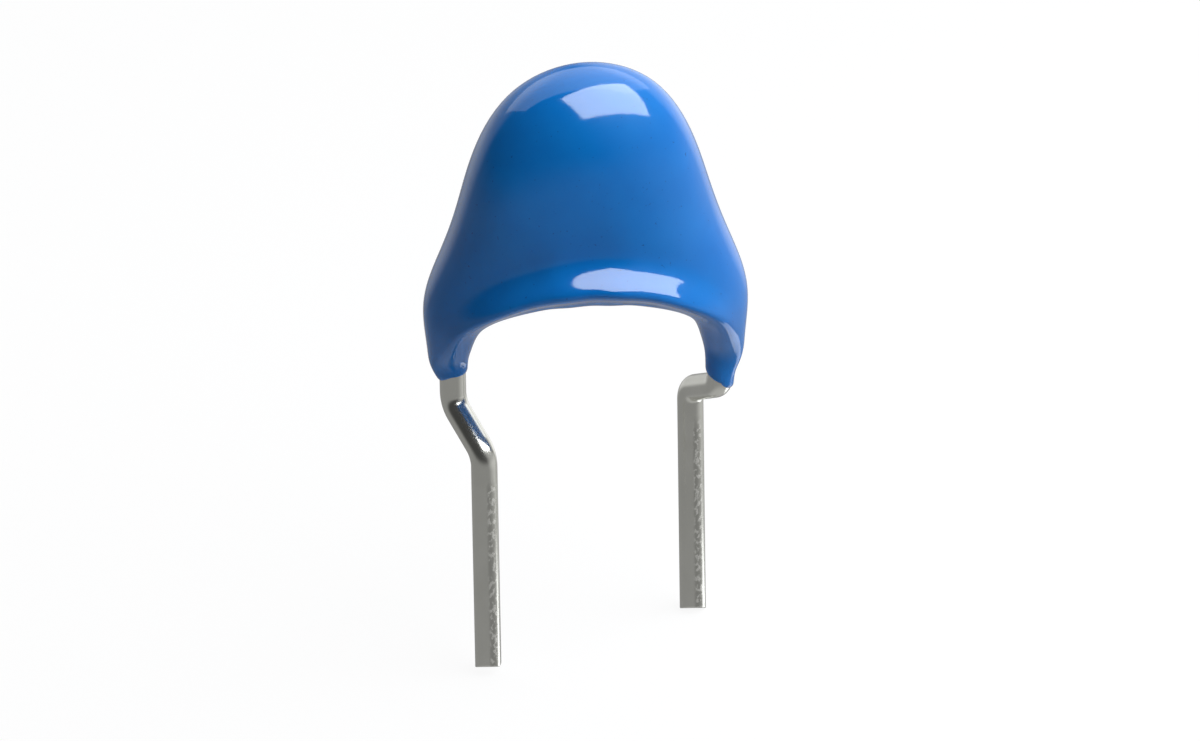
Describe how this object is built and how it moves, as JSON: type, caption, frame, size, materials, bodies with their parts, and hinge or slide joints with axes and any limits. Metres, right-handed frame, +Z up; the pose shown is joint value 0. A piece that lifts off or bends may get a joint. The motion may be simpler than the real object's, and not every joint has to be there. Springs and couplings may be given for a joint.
{
  "type": "ceramic disc capacitor",
  "caption": "Upright ceramic disc capacitor in a dipped blue resin coat, arched between its legs, with kinked tinned wire leads for soldering through a board.",
  "frame": {"origin": "midway between the two leads on the seating plane, where the straight leg of the left lead begins", "axes": "+Z up from the leads to the crown, +X from the left lead to the right lead, -Y to the front, the face that the right lead is soldered to"},
  "size_m": [0.0064, 0.005, 0.0134],
  "materials": {
    "blue_resin": "glossy dipped epoxy, slightly uneven",
    "fired_ceramic": "matt fired body",
    "fired_silver": "matt silver paste",
    "solder": "bright solder",
    "tinned_wire": "dull tinned wire with drawn streaks"
  },
  "bodies": {
    "root": {"resin_coating": "blue_resin", "ceramic_disc": "fired_ceramic", "front_electrode": "fired_silver", "rear_electrode": "fired_silver", "front_solder": "solder", "rear_solder": "solder", "left_lead": "tinned_wire", "right_lead": "tinned_wire"}
  },
  "joints": []
}
